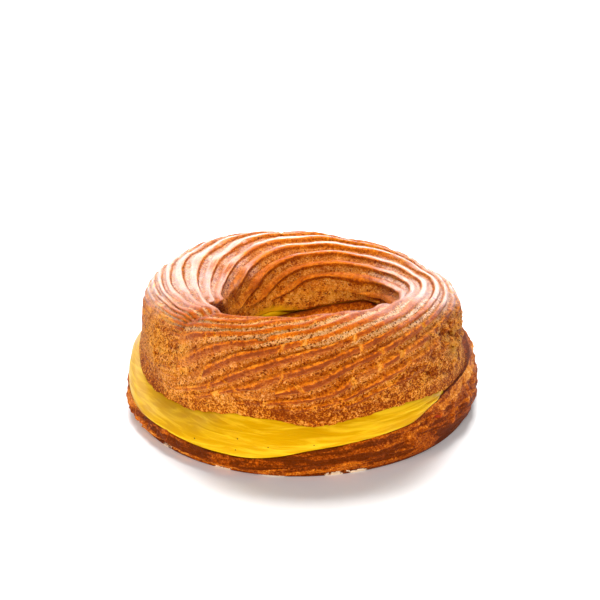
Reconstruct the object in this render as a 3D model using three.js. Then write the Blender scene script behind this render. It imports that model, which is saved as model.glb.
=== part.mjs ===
// A filled choux ring: a baked base, a ring of custard cream and a ridged crown.
// Millimetres, +Z up. Angles are in degrees: theta runs anticlockwise round the
// ring from +X, and phi runs round the crown's section, 0 on the outside,
// 90 on the crest, 180 on the hole's side.
import * as THREE from 'three';

// How finely the ring is cut, and how closely its pieces sit.
const columnCount = 64;
const gap = 0.36;

// Sizes that change round the ring, each as
// [mean, cos theta, sin theta, cos 2 theta, sin 2 theta].
const crestHeight = [33.1, 0, -3.3, -0.9, -1.1];
const outerRadius = [41.8, -0.2, 1.6, -0.55, -1.55];
const innerRadius = [21.5, 1.9, 0.2, 0.5, 0.3];
const crestRadius = [32.3, -0.4, 0, 0.2, 0.1];
const baseRadius = [45.2, 0.3, 0.4, 0.9, 0.6];

// Heights at stations round the ring, as [theta, height].
const lipHeight = [
  [0, 14.8], [40, 15.6], [70, 15.2], [115, 13.6], [150, 15], [177, 16.2], [189, 13.6],
  [200, 11.4], [214, 10.7], [230, 11.8], [245, 14.2], [261, 14.5], [272, 13.2], [286, 14.5],
  [300, 15.9], [314, 15.9], [330, 14.6],
];
const rimHeight = [
  [0, 14.2], [35, 14.8], [60, 14.3], [115, 11], [150, 10.6], [177, 9.8], [190, 6.2],
  [222, 5.7], [250, 4.8], [262, 6], [272, 7.8], [284, 8.9], [300, 9.9], [309, 10.5],
  [318, 12.4], [330, 14],
];
const seamHeight = [
  [12, 19.5], [43, 20.2], [61, 17.9], [75, 16.2], [89, 14.6], [112, 14.4], [150, 14],
  [220, 13.6], [290, 14.4],
];

// The crown's section.
const sectionPower = 0.858; // below 1 squares the round section
const shoulderShare = 0.438; // height of the widest point between lip and crest
const leastWall = 1.5; // from the seam up to the widest point
const outerTuck = 0.8; // the outer wall leans in this much down to the lip
const lipFlares = [[194, 20, 2.4], [347, 36, 2]]; // [theta, width, how far the lip turns out]
const innerTuck = 0.9; // the hole's wall leans out this much down to the seam
const lipPhis = [-90, -74]; // plain rows below the ridges
const wallPhis = [222, 244, 270]; // plain rows on the hole's wall

// The piped ridges: one rope wound in a slow helix, its ends meeting at pinchAngle.
const pinchAngle = 217;
const ridgeHeight = 0.85;
const outerPitch = 15.9; // degrees of phi from ridge to ridge on the outside
const innerPitch = 23; // the same on the hole's side
const pitchTurn = 97; // phi where the one pitch gives way to the other
const pitchBlend = 12;
const twist = [0.0314, 0.517, -0.509, 0.391, 0.238]; // ridges crossed, by degree and harmonic
const twistStart = 270;
const fanStart = 500; // theta where the ridges begin to draw together
const fanPinch = 0.573;
const fanCentre = 121.5;
const driftTurn = 0.35; // ridges past the front lie this share of a pitch further in
const driftFrom = 280;
const driftTo = 340;
const slantTurn = 2; // ridges low on the front climb this much more steeply
const slantPower = 1.5;
const slantFrom = 214;
const slantTo = 275;
const slantLow = -5;
const slantHigh = 65;
const plungeTurn = 0.4; // on the hole's wall, at the back left, the ridges run down this much
const plungeFrom = 460;
const plungeTo = 500;
const plungeLow = 140;
const plungeHigh = 180;
// Small shifts of the ridges, as [theta, phi, half width, half height, ridges].
const nudges = [
  [100, 130, 45, 45, 0.2],
  [85, 168, 14, 16, 0.2],
  [8, 110, 22, 45, 0.35],
  [47, 168, 16, 14, -0.42],
  [50, 84, 14, 10, 0.2],
  [275, -5, 30, 30, 0.2],
];
const ridgeSteps = [[0, 0], [0.15, 1], [0.54, 1], [0.69, 0]]; // [place in one pitch, height]
const ridgedFrom = -62;
const fullFrom = -25; // the ridges have their full height from here
const fullTo = 186; // to here
const ridgedTo = 206;
const searchMargin = 90;
const searchSteps = 40;

// Worn and broken patches of the crown, as [theta, phi, half width, half height, loss].
const plainPatches = [
  [202, 15, 20, 42, 1],
  [340, 8, 20, 40, 0.8],
  [320, -18, 17, 26, 0.8],
  [270, -55, 110, 34, 0.8],
  [70, 198, 38, 25, 1],
  [162, 173, 21, 24, 1],
];

// The ridges are lower on the left: low down on the side, and over the top.
const sideCalm = { theta: 172, width: 45, loss: 0.85, from: 35, to: 75 };
const topCalm = { theta: 165, width: 50, loss: 0.42, from: 40, to: 80, fadeFrom: 115, fadeTo: 140 };

// The notch under the cut ends of the ridges, beside the pinch.
const notch = {
  theta: 187, phi: 142, lean: -0.55, far: 206, low: 124, high: 186, depth: 2.2,
};
const notchEdge = 1.4; // in theta
const notchEnd = 9;
const notchFade = 12; // in phi

// Crags: slow lumps in the crust, as { height, waves around, waves across, seed }.
const crownCrag = { height: 0.42, around: 11, across: 2.4, seed: 1.7 };
const baseCrag = { height: 0.42, around: 9, across: 2, seed: 4.1 };
const cragCalm = 0.6; // the crags lose this share of their height
const calmFrom = 10; // between these values of phi
const calmTo = 70;
const lumpTerms = 7;
const lumpSpread = 0.5;
const goldenAngle = 2.39996;

// The crease where the two ends of the rope meet.
const pinchDepth = 1.7;
const pinchWidth = 5;
const pinchRise = [45, 85]; // phi
const pinchFade = [185, 200];

// The base.
const wallShares = [0, 0.06, 0.2, 0.35, 0.5, 0.66, 0.83, 1]; // rows up the outer wall
const baseFootShare = 0.944; // foot radius over widest radius
const widestShare = 0.6; // height of the widest point over rim height
const widestLimit = 6.5;
const rimDrop = 0.7; // how far in the rim lies from the widest point
const steepDrop = 0.4; // the rim lies further in for each mm that it stands higher
const plainRise = 3.5;
const streakHeight = 0.28;
const baseHolePinch = 1.2; // the hole narrows this much half way up the base
const baseHoleFoot = 2.2; // and widens this much at the foot
// rows down the hole's wall, as [share of its height, share of the pinch]
const holeSteps = [[0.75, 0.6], [0.45, 1], [0.15, 0]];
const rimRow = 0.6; // where the middle row of the rim's top lies
const rimSag = 0.1;

// The pocket between base and crown that holds the cream, across from hole to lip.
const pocketSteps = [0, 0.1, 0.35, 0.65, 0.93, 1];
const pocketHalf = 2.7;
const pocketWidens = [0, 0.3]; // shares between which the pocket opens from the seam
const pocketNarrows = [0.6, 0.93]; // and draws in to the lips
const pocketTurn = 80; // angle that the pocket's roof adds to phi across its width
const seamHalf = 0.2;
const innerMouth = 1.1; // half height of the gap where cream shows inside the hole
const innerMouthAngle = 114;
const innerMouthWidth = 18;
const creamMouthReach = 0.8; // how much nearer the hole the cream comes at that gap
const creamInnerGap = 0.02;
const creamBulge = 1.1;
const openFrom = 1.4; // the lips stand open from this height of gap
const openTo = 2.6;
const creamEdge = 0.5; // least height of the cream's outer face
const creamFaceSteps = [0.1, 0.3, 0.5, 0.7, 0.9];
const creamInset = 0.5;

// Keys order the points of a section; those of the ridges are ridge counts.
const lipKey = -300;
const wallKey = 300;
const roofKey = 400;

const radians = Math.PI / 180;

function harmonic([mean, c1, s1, c2, s2], theta) {
  const angle = theta * radians;
  return mean + c1 * Math.cos(angle) + s1 * Math.sin(angle)
    + c2 * Math.cos(2 * angle) + s2 * Math.sin(2 * angle);
}

function blend(low, high, share) {
  return low + (high - low) * share;
}

function smoothStep(low, high, value) {
  const share = Math.min(1, Math.max(0, (value - low) / (high - low)));
  return share * share * (3 - 2 * share);
}

function angleBetween(theta, centre) {
  return ((theta - centre) % 360 + 540) % 360 - 180;
}

function bump(theta, centre, width) {
  return Math.exp(-((angleBetween(theta, centre) / width) ** 2));
}

// A soft spot on the crown, given as [theta, phi, half width, half height, amount].
function spotAt([spotTheta, spotPhi, halfWidth, halfHeight, amount], theta, phi) {
  const around = angleBetween(theta, spotTheta) / halfWidth;
  const across = (phi - spotPhi) / halfHeight;
  return amount * Math.exp(-around * around - across * across);
}

// A smooth closed curve through the stations.
function atStations(stations, theta) {
  const count = stations.length;
  const turned = ((theta - stations[0][0]) % 360 + 360) % 360 + stations[0][0];
  let index = count - 1;
  while (stations[index][0] > turned) index -= 1;
  const station = (offset) => {
    const place = index + offset;
    const lap = Math.floor(place / count);
    const [angle, value] = stations[place - lap * count];
    return [angle + lap * 360, value];
  };
  const [before, start, end, after] = [station(-1), station(0), station(1), station(2)];
  const span = end[0] - start[0];
  const share = (turned - start[0]) / span;
  const startSlope = (end[1] - before[1]) / (end[0] - before[0]) * span;
  const endSlope = (after[1] - start[1]) / (after[0] - start[0]) * span;
  const square = share * share;
  const cube = square * share;
  return (2 * cube - 3 * square + 1) * start[1] + (cube - 2 * square + share) * startSlope
    + (3 * square - 2 * cube) * end[1] + (cube - square) * endSlope;
}

// Slow irregular lumps, whole waves round the ring.
function lumps({ height, around, across, seed }, theta, phi) {
  let sum = 0;
  for (let term = 0; term < lumpTerms; term += 1) {
    const turn = seed + term * goldenAngle;
    const wavesNow = Math.round(around * (1 + lumpSpread * Math.sin(3 * turn)));
    const acrossNow = across * (1 + lumpSpread * Math.cos(5 * turn));
    sum += Math.sin((wavesNow * theta + acrossNow * phi) * radians + lumpTerms * turn);
  }
  return height * sum / Math.sqrt(lumpTerms / 2);
}

// All sizes of the ring at one angle.
function sizesAt(theta) {
  const outer = harmonic(outerRadius, theta);
  const inner = harmonic(innerRadius, theta);
  const lip = atStations(lipHeight, theta);
  const rim = Math.min(atStations(rimHeight, theta), lip - 2 * gap);
  const crest = harmonic(crestHeight, theta);
  const shoulder = blend(lip, crest, shoulderShare);
  const seam = Math.min(atStations(seamHeight, theta), shoulder - leastWall);
  const wide = harmonic(baseRadius, theta);
  const widest = Math.min(widestShare * rim, widestLimit);
  const lean = rimDrop + steepDrop * Math.max(0, rim - widest - plainRise);
  const flare = lipFlares.reduce((sum, [at, width, out]) => sum + out * bump(theta, at, width), 0);
  const mouth = seamHalf + innerMouth * bump(theta, innerMouthAngle, innerMouthWidth);
  return {
    outer, inner, lip, rim, crest, shoulder, seam, wide, widest, lean,
    centre: harmonic(crestRadius, theta),
    lipRadius: outer - outerTuck + flare,
    seamRadius: inner + innerTuck,
    open: smoothStep(openFrom, openTo, lip - rim),
    innerLip: seam + mouth,
    innerRim: seam - mouth,
  };
}

// Ridges passed at a point of the crown: whole numbers are the start of a ridge.
function ridgeCount(theta, phi) {
  const fan = 1 + fanPinch * smoothStep(fanStart, pinchAngle + 360, theta);
  const spread = fanCentre + (phi - fanCentre) * fan;
  const past = pitchBlend * Math.log1p(Math.exp((spread - pitchTurn) / pitchBlend));
  const angle = (theta - twistStart) * radians;
  const crossed = twist[0] * (theta - twistStart) + twist[1] * Math.sin(angle)
    + twist[2] * (1 - Math.cos(angle)) + twist[3] * Math.sin(2 * angle)
    + twist[4] * (1 - Math.cos(2 * angle));
  const toGo = Math.min(1, Math.max(0, (slantTo - theta) / (slantTo - slantFrom)));
  const slant = slantTurn * toGo ** slantPower * (1 - smoothStep(slantLow, slantHigh, phi));
  const drift = driftTurn * smoothStep(driftFrom, driftTo, theta);
  const fallen = plungeTurn * smoothStep(plungeFrom, plungeTo, theta)
    * smoothStep(plungeLow, plungeHigh, phi);
  const nudged = nudges.reduce((sum, nudge) => sum + spotAt(nudge, theta, phi), 0);
  return spread / outerPitch + (1 / innerPitch - 1 / outerPitch) * past
    - crossed + slant - drift - fallen + nudged;
}

// The phi at which a ridge count is met, found by halving.
function phiOfRidge(theta, count) {
  let low = ridgedFrom - searchMargin;
  let high = ridgedTo + searchMargin;
  for (let step = 0; step < searchSteps; step += 1) {
    const middle = (low + high) / 2;
    if (ridgeCount(theta, middle) < count) low = middle;
    else high = middle;
  }
  return (low + high) / 2;
}

// How far a point lies inside the notch, from 0 to 1.
function notchAt(theta, phi) {
  const mouth = notch.theta + notch.lean * (phi - notch.phi);
  const turned = theta % 360;
  return smoothStep(mouth, mouth + notchEdge, turned)
    * (1 - smoothStep(notch.far, notch.far + notchEnd, turned))
    * smoothStep(notch.low, notch.low + notchFade, phi)
    * (1 - smoothStep(notch.high, notch.high + notchFade, phi));
}

function ridgeStrength(theta, phi) {
  let strength = smoothStep(ridgedFrom, fullFrom, phi) * (1 - smoothStep(fullTo, ridgedTo, phi));
  for (const patch of plainPatches) strength *= 1 - spotAt(patch, theta, phi);
  const low = sideCalm.loss * bump(theta, sideCalm.theta, sideCalm.width)
    * (1 - smoothStep(sideCalm.from, sideCalm.to, phi));
  const high = topCalm.loss * bump(theta, topCalm.theta, topCalm.width)
    * smoothStep(topCalm.from, topCalm.to, phi)
    * (1 - smoothStep(topCalm.fadeFrom, topCalm.fadeTo, phi));
  return strength * (1 - low) * (1 - high) * (1 - notchAt(theta, phi));
}

// A point of the crown's outside, raised by some height above the plain section.
function crownPoint(size, theta, phi, raise) {
  const angle = phi * radians;
  const across = Math.abs(Math.cos(angle)) ** sectionPower;
  const up = Math.abs(Math.sin(angle)) ** sectionPower;
  const outside = Math.cos(angle) >= 0;
  const above = Math.sin(angle) >= 0;
  let radius;
  let height;
  if (above) {
    radius = size.centre + (outside ? size.outer - size.centre : size.inner - size.centre) * across;
    height = size.shoulder + (size.crest - size.shoulder) * up;
  } else {
    const tuck = Math.sin(angle) ** 2;
    radius = outside
      ? blend(size.outer, size.lipRadius, tuck)
      : blend(size.inner, size.seamRadius, tuck);
    height = size.shoulder - (size.shoulder - (outside ? size.lip : size.innerLip)) * up;
  }
  const settled = above ? 1 : 1 - up; // no relief at the lips themselves
  const crag = lumps(crownCrag, theta, phi) * (1 - cragCalm * smoothStep(calmFrom, calmTo, phi));
  const pinch = pinchDepth * bump(theta, pinchAngle, pinchWidth)
    * smoothStep(...pinchRise, phi) * (1 - smoothStep(...pinchFade, phi));
  const sunk = notch.depth * notchAt(theta, phi);
  const proud = (raise + crag - pinch - sunk) * Math.max(settled, 0);
  const nose = above ? Math.sin(angle) : 0;
  return [radius + proud * Math.cos(angle), height + proud * nose];
}

// Heights of the pocket's roof and bed, straight between the pocket steps.
function pocketAt(size, share) {
  const across = (step) => {
    const middle = blend(size.seam, (size.lip + size.rim) / 2, step);
    const inward = blend(size.innerLip - size.seam, pocketHalf, smoothStep(...pocketWidens, step));
    const half = blend(inward, (size.lip - size.rim) / 2, smoothStep(...pocketNarrows, step));
    return [middle - half, middle + half];
  };
  let index = 0;
  while (index < pocketSteps.length - 2 && share > pocketSteps[index + 1]) index += 1;
  const [low, high] = [pocketSteps[index], pocketSteps[index + 1]];
  const part = (share - low) / (high - low);
  const [lowBed, lowRoof] = across(low);
  const [highBed, highRoof] = across(high);
  return { bed: blend(lowBed, highBed, part), roof: blend(lowRoof, highRoof, part) };
}

function pocketRadius(size, share) {
  return blend(size.seamRadius, size.lipRadius, share);
}

// One closed loop of the crown's section: [radius, height, key, phi] for each point.
function crownColumn(theta) {
  const size = sizesAt(theta);
  const column = [];
  const add = (phi, raise, key) => {
    const [radius, height] = crownPoint(size, theta, phi, raise);
    column.push({ radius, height, key, phi });
  };
  lipPhis.forEach((phi, index) => add(phi, 0, lipKey + index));
  const first = Math.ceil(ridgeCount(theta, ridgedFrom));
  const last = Math.floor(ridgeCount(theta, ridgedTo));
  for (let ridge = first; ridge <= last; ridge += 1) {
    for (const [place, rise] of ridgeSteps) {
      const phi = phiOfRidge(theta, ridge + place);
      if (phi <= ridgedTo) {
        add(phi, rise * ridgeHeight * ridgeStrength(theta, phi), ridge + place);
      }
    }
  }
  wallPhis.forEach((phi, index) => add(phi, 0, wallKey + index));
  pocketSteps.slice(1, -1).forEach((share, index) => {
    column.push({
      radius: pocketRadius(size, share),
      height: pocketAt(size, share).roof,
      key: roofKey + index,
      phi: wallPhis[wallPhis.length - 1] + pocketTurn * share,
      outward: true,
    });
  });
  return column;
}

// The base's section, from the foot's outer edge over the top to its inner edge.
function baseColumn(theta) {
  const size = sizesAt(theta);
  const column = [];
  const add = (radius, height) => {
    column.push({ radius, height, key: column.length, phi: column.length });
  };
  wallShares.forEach((share, index) => {
    const height = share * size.rim;
    const above = height > size.widest;
    const away = above
      ? (height - size.widest) / (size.rim - size.widest)
      : (size.widest - height) / size.widest;
    const inset = above ? size.lean : size.wide * (1 - baseFootShare);
    const streak = index > 1 && index < wallShares.length - 1 ? streakHeight * (-1) ** index : 0;
    const crag = index > 0 ? lumps(baseCrag, theta, 90 * share) : 0;
    add(size.wide - inset * away ** 2 + streak + crag, height);
  });
  const rimRadius = size.wide - size.lean;
  add(blend(size.lipRadius, rimRadius, rimRow), size.rim - rimSag);
  pocketSteps.slice().reverse().forEach((share) => {
    add(pocketRadius(size, share), pocketAt(size, share).bed);
  });
  holeSteps.forEach(([share, pinch]) => {
    add(size.seamRadius - baseHolePinch * pinch, share * size.innerRim);
  });
  add(size.seamRadius + baseHoleFoot, 0);
  return column;
}

// How far out the pocket is high enough for the cream, as a share of its width.
function creamReach(size) {
  const needed = 2 * gap + creamEdge;
  const [low, high] = pocketSteps.slice(-3, -1);
  const [deep, mouth] = [low, high].map((share) => {
    const { bed, roof } = pocketAt(size, share);
    return roof - bed;
  });
  if (mouth >= needed) return Math.min(1, high + (mouth - needed) / needed * (1 - high));
  return blend(low, high, (deep - needed) / (deep - mouth));
}

// The cream fills the pocket and bulges out where the lips stand open.
function creamColumn(theta) {
  const size = sizesAt(theta);
  const column = [];
  const add = (radius, height, outward) => {
    column.push({ radius, height, key: column.length, phi: column.length, outward });
  };
  const reach = creamReach(size);
  const hold = pocketSteps.slice(1).map((share) => share * reach);
  const nearer = creamMouthReach * bump(theta, innerMouthAngle, innerMouthWidth);
  const inner = hold.shift() * (1 - nearer) + creamInnerGap;
  const shares = [inner, ...hold];
  shares.forEach((share) => {
    add(pocketRadius(size, share), pocketAt(size, share).bed + gap, true);
  });
  const rimRadius = size.wide - size.lean;
  const outerShare = shares[shares.length - 1];
  const topRadius = pocketRadius(size, outerShare);
  const footRadius = blend(topRadius, rimRadius - creamInset, size.open);
  const foot = pocketAt(size, outerShare).bed + gap;
  const top = pocketAt(size, outerShare).roof - gap;
  creamFaceSteps.forEach((share) => {
    const bulge = creamBulge * size.open * Math.sin(Math.PI * share);
    add(blend(footRadius, topRadius, share) + bulge, blend(foot, top, share));
  });
  shares.slice().reverse().forEach((share) => {
    add(pocketRadius(size, share), pocketAt(size, share).roof - gap);
  });
  return column;
}

// Joins two closed loops of points by the order of a key, so that equal keys meet.
// Rows that run outward are cut along the other diagonal, so that the facets of
// two pieces that face each other are alike.
function joinLoops(first, second, firstStart, secondStart, key, triangles) {
  let a = 0;
  let b = 0;
  while (a < first.length || b < second.length) {
    const nextA = a + 1 < first.length ? first[a + 1][key] : Infinity;
    const nextB = b + 1 < second.length ? second[b + 1][key] : Infinity;
    const here = firstStart + a % first.length;
    const there = secondStart + b % second.length;
    const firstGoes = nextA < nextB || (nextA === nextB && !first[a % first.length].outward);
    if (b >= second.length || (a < first.length && firstGoes)) {
      triangles.push(here, there, firstStart + (a + 1) % first.length);
      a += 1;
    } else {
      triangles.push(here, there, secondStart + (b + 1) % second.length);
      b += 1;
    }
  }
}

// A closed ring from one section loop at each column.
function ringGeometry(columnAt) {
  const loops = [];
  const starts = [];
  const positions = [];
  for (let index = 0; index < columnCount; index += 1) {
    const theta = pinchAngle + index * 360 / columnCount;
    const loop = columnAt(theta);
    starts.push(positions.length / 3);
    loops.push(loop);
    for (const { radius, height } of loop) {
      const angle = theta * radians;
      positions.push(radius * Math.cos(angle), radius * Math.sin(angle), height);
    }
  }
  const triangles = [];
  for (let index = 0; index < columnCount; index += 1) {
    const next = (index + 1) % columnCount;
    const key = next === 0 ? 'phi' : 'key';
    joinLoops(loops[index], loops[next], starts[index], starts[next], key, triangles);
  }
  const geometry = new THREE.BufferGeometry();
  geometry.setAttribute('position', new THREE.Float32BufferAttribute(positions, 3));
  geometry.setIndex(triangles);
  geometry.computeVertexNormals();
  return geometry;
}

function ringMesh(name, columnAt, color, roughness) {
  const material = new THREE.MeshStandardMaterial({ color, roughness, metalness: 0 });
  const mesh = new THREE.Mesh(ringGeometry(columnAt), material);
  mesh.name = name;
  return mesh;
}

const pastry = new THREE.Group();
pastry.add(ringMesh('base', baseColumn, 0x944a1a, 0.7));
pastry.add(ringMesh('cream', creamColumn, 0xf0b514, 0.35));
pastry.add(ringMesh('crown', crownColumn, 0xb8692b, 0.5));

// The origin is the middle of the footprint, on the surface that the ring rests on.
const box = new THREE.Box3().setFromObject(pastry);
const middle = box.getCenter(new THREE.Vector3());
pastry.position.set(-middle.x, -middle.y, -box.min.z);

export default pastry;
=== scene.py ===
import bpy
import math
import numpy as np
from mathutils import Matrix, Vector
from types import SimpleNamespace


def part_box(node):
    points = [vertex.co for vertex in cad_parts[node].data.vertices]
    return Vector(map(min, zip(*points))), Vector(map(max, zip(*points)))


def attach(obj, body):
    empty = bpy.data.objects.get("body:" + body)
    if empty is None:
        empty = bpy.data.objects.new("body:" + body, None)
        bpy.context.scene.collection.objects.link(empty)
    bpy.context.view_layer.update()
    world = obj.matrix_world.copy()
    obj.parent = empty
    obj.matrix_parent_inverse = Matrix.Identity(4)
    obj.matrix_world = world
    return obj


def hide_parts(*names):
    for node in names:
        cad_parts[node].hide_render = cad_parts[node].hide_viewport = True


# A filled choux ring. The pastry's lengths are in millimetres until a mesh is made, the studio's
# are in metres, and angles are in degrees:
# theta runs anticlockwise round the ring from +X, phi round the crown's section
# (0 outside, 90 on the crest, 180 on the hole's side).
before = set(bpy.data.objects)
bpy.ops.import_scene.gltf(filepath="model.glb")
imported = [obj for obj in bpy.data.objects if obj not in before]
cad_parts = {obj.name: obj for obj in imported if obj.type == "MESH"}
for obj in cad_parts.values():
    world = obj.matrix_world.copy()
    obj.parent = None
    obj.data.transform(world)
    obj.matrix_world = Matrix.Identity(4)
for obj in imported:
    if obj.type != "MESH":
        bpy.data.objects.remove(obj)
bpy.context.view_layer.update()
toMetres = 0.001
radians = math.pi / 180

# sizes that all three pieces share
ring = {
    # [mean, cos theta, sin theta, cos 2 theta, sin 2 theta]
    "crestHeight": [33.1, 0, -3.3, -0.9, -1.1],
    "outerRadius": [41.8, -0.2, 1.6, -0.55, -1.55],
    "innerRadius": [21.5, 1.9, 0.2, 0.5, 0.3],
    "crestRadius": [32.3, -0.4, 0, 0.2, 0.1],
    "baseRadius": [45.2, 0.3, 0.4, 0.9, 0.6],
    # heights at stations round the ring, as (theta, height)
    "lipHeight": [(0, 14.8), (40, 15.6), (70, 15.2), (115, 13.6), (150, 15), (177, 16.2),
                  (189, 13.6), (200, 11.4), (214, 10.7), (230, 11.8), (245, 14.2), (261, 14.5),
                  (272, 13.2), (286, 14.5), (300, 15.9), (314, 15.9), (330, 14.6)],
    "rimHeight": [(0, 14.2), (35, 14.8), (60, 14.3), (115, 11), (150, 10.6), (177, 9.8),
                  (190, 6.2), (222, 5.7), (250, 4.8), (262, 6), (272, 7.8), (284, 8.9),
                  (300, 9.9), (309, 10.5), (318, 12.4), (330, 14)],
    "seamHeight": [(12, 19.5), (43, 20.2), (61, 17.9), (75, 16.2), (89, 14.6), (112, 14.4),
                   (150, 14), (220, 13.6), (290, 14.4)],
    "leastMouth": 0.5,  # between rim and lip
    "leastWall": 1.5,  # from the seam up to the widest point
    "columns": 470,
    "frontCrowding": 0.35,  # columns stand closer together on the front
    "gap": 0.06,  # between neighbouring pieces
}

# the hollow between base and crown that holds the cream
pocket = {
    "half": 2.7,  # half of its height
    "seamHalf": 0.08,  # the same where the two crusts meet in the hole
    "innerMouth": 1.1,  # where it opens into the hole
    "innerMouthAngle": 114,
    "innerMouthWidth": 18,
    "widens": (0, 0.3),  # shares of the way from the hole to the lip
    "narrows": (0.6, 0.93),
    "opens": (1.0, 2.4),  # heights between rim and lip from which the cream shows
}


def blend(low, high, share):
    return low + (high - low) * share


def smoothStep(low, high, value):
    share = np.clip((value - low) / (high - low), 0, 1)
    return share * share * (3 - 2 * share)


def fadeOut(low, high, value):
    return 1 - smoothStep(low, high, value)


# 1 between the two slopes, 0 beyond them
def window(value, riseFrom, riseTo, fallFrom, fallTo):
    return smoothStep(riseFrom, riseTo, value) * fadeOut(fallFrom, fallTo, value)


def angleBetween(theta, centre):
    return ((theta - centre) % 360 + 540) % 360 - 180


def bump(theta, centre, width):
    return np.exp(-(angleBetween(theta, centre) / width) ** 2)


# sum of soft spots, each given as (theta, phi, half width, half height, amount)
def spots(table, theta, phi, sharpness=1):
    total = 0
    for spotTheta, spotPhi, halfWidth, halfHeight, amount in table:
        away = ((angleBetween(theta, spotTheta) / halfWidth) ** 2
                + ((phi - spotPhi) / halfHeight) ** 2)
        total = total + amount * np.exp(-away ** sharpness)
    return total


def harmonic(sizes, theta):
    angle = theta * radians
    return (sizes[0] + sizes[1] * np.cos(angle) + sizes[2] * np.sin(angle)
            + sizes[3] * np.cos(2 * angle) + sizes[4] * np.sin(2 * angle))


# a smooth closed curve through the stations
def atStations(stations, theta):
    table = np.array(stations, float)
    lap = np.array([360.0, 0.0])
    table = np.concatenate([table[-2:] - lap, table, table[:2] + lap])
    angles, values = table[:, 0], table[:, 1]
    slopes = (values[2:] - values[:-2]) / (angles[2:] - angles[:-2])
    turned = (theta - stations[0][0]) % 360 + stations[0][0]
    place = np.clip(np.searchsorted(angles, turned, side="right") - 1, 1, len(angles) - 3)
    span = angles[place + 1] - angles[place]
    share = (turned - angles[place]) / span
    square, cube = share ** 2, share ** 3
    return ((2 * cube - 3 * square + 1) * values[place]
            + (cube - 2 * square + share) * span * slopes[place - 1]
            + (3 * square - 2 * cube) * values[place + 1]
            + (cube - square) * span * slopes[place])


# slow lumps of about unit height, whole waves round the ring
def lumps(theta, phi, wavesAround, wavesAcross, seed):
    terms, goldenAngle = 7, 2.39996
    total = np.zeros(np.broadcast(theta, phi).shape)
    for term in range(terms):
        turn = seed + term * goldenAngle
        around = round(wavesAround * (1 + 0.5 * math.sin(3 * turn)))
        across = wavesAcross * (1 + 0.5 * math.cos(5 * turn))
        total += np.sin((around * theta + across * phi) * radians + 7 * turn)
    return total / math.sqrt(terms / 2)


# a repeatable random number from 0 to 1 for each whole-numbered cell
def cellValue(x, y, z, seed):
    mix = (x.astype(np.int64) * 73856093) ^ (y.astype(np.int64) * 19349663)
    mix ^= (z.astype(np.int64) * 83492791) ^ (seed * 2654435761)
    mix = (mix ^ (mix >> 13)) * 1274126177 & 0xFFFFFFFF
    mix = (mix ^ (mix >> 16)) * 2246822519 & 0xFFFFFFFF
    return ((mix ^ (mix >> 15)) & 0xFFFFFF) / 0xFFFFFF


# smooth noise from -1 to 1 in space; size is the width of one lump
def noise(points, size, seed=0):
    place = points / size
    cell = np.floor(place)
    share = place - cell
    share = share * share * share * (share * (share * 6 - 15) + 10)
    total = 0
    for x in (0, 1):
        for y in (0, 1):
            for z in (0, 1):
                weight = (np.abs(1 - x - share[:, 0]) * np.abs(1 - y - share[:, 1])
                          * np.abs(1 - z - share[:, 2]))
                total = total + weight * cellValue(cell[:, 0] + x, cell[:, 1] + y,
                                                   cell[:, 2] + z, seed)
    return 2 * total - 1


# noise with ever finer and weaker octaves
def cloudNoise(points, size, octaves, seed=0):
    total, weight, weightSum = 0, 1, 0
    for octave in range(octaves):
        total = total + weight * noise(points, size / 2 ** octave, seed + 17 * octave)
        weightSum += weight
        weight *= 0.55
    return total / weightSum * 1.6


# sum of noises, each given as (depth, width of a lump, seed)
def layered(points, table):
    return sum(depth * noise(points, width, seed) for depth, width, seed in table)


# rounded crests with narrow hollows between them, from the same kind of table
def creased(points, table):
    return 1 - sum(depth * np.abs(noise(points, width, seed)) ** 0.8
                   for depth, width, seed in table)


# distance to the nearest scattered point, in cells, and that cell's own random number
def cellNoise(points, size, seed=0):
    place = points / size
    cell = np.floor(place)
    nearest = np.full(len(points), 9.0)
    owner = np.zeros(len(points))
    for x in (-1, 0, 1):
        for y in (-1, 0, 1):
            for z in (-1, 0, 1):
                cx, cy, cz = cell[:, 0] + x, cell[:, 1] + y, cell[:, 2] + z
                away = np.stack([
                    cx + cellValue(cx, cy, cz, seed) - place[:, 0],
                    cy + cellValue(cx, cy, cz, seed + 1) - place[:, 1],
                    cz + cellValue(cx, cy, cz, seed + 2) - place[:, 2]])
                distance = np.sqrt((away ** 2).sum(axis=0))
                closer = distance < nearest
                owner = np.where(closer, cellValue(cx, cy, cz, seed + 3), owner)
                nearest = np.where(closer, distance, nearest)
    return nearest, owner


def sizesAt(theta):
    size = {"outer": harmonic(ring["outerRadius"], theta),
            "inner": harmonic(ring["innerRadius"], theta),
            "centre": harmonic(ring["crestRadius"], theta),
            "crest": harmonic(ring["crestHeight"], theta),
            "wide": harmonic(ring["baseRadius"], theta),
            "lip": atStations(ring["lipHeight"], theta)}
    size["rim"] = np.minimum(atStations(ring["rimHeight"], theta), size["lip"] - ring["leastMouth"])
    size["shoulder"] = blend(size["lip"], size["crest"], crown["shoulderShare"])
    size["seam"] = np.minimum(atStations(ring["seamHeight"], theta),
                              size["shoulder"] - ring["leastWall"])
    size["widest"] = np.minimum(base["widestShare"] * size["rim"], base["widestLimit"])
    size["lean"] = base["rimDrop"] + base["steepDrop"] * np.maximum(
        0, size["rim"] - size["widest"] - base["plainRise"])
    flare = sum(out * bump(theta, at, width) for at, width, out in crown["lipFlares"])
    mouth = pocket["seamHalf"] + pocket["innerMouth"] * bump(
        theta, pocket["innerMouthAngle"], pocket["innerMouthWidth"])
    size["lipRadius"] = size["outer"] - crown["outerTuck"] + flare
    size["seamRadius"] = size["inner"] + crown["innerTuck"]
    size["innerLip"] = size["seam"] + mouth
    size["innerRim"] = size["seam"] - mouth
    size["open"] = smoothStep(*pocket["opens"], size["lip"] - size["rim"])
    size["rimRadius"] = size["wide"] - size["lean"]
    return size


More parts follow.
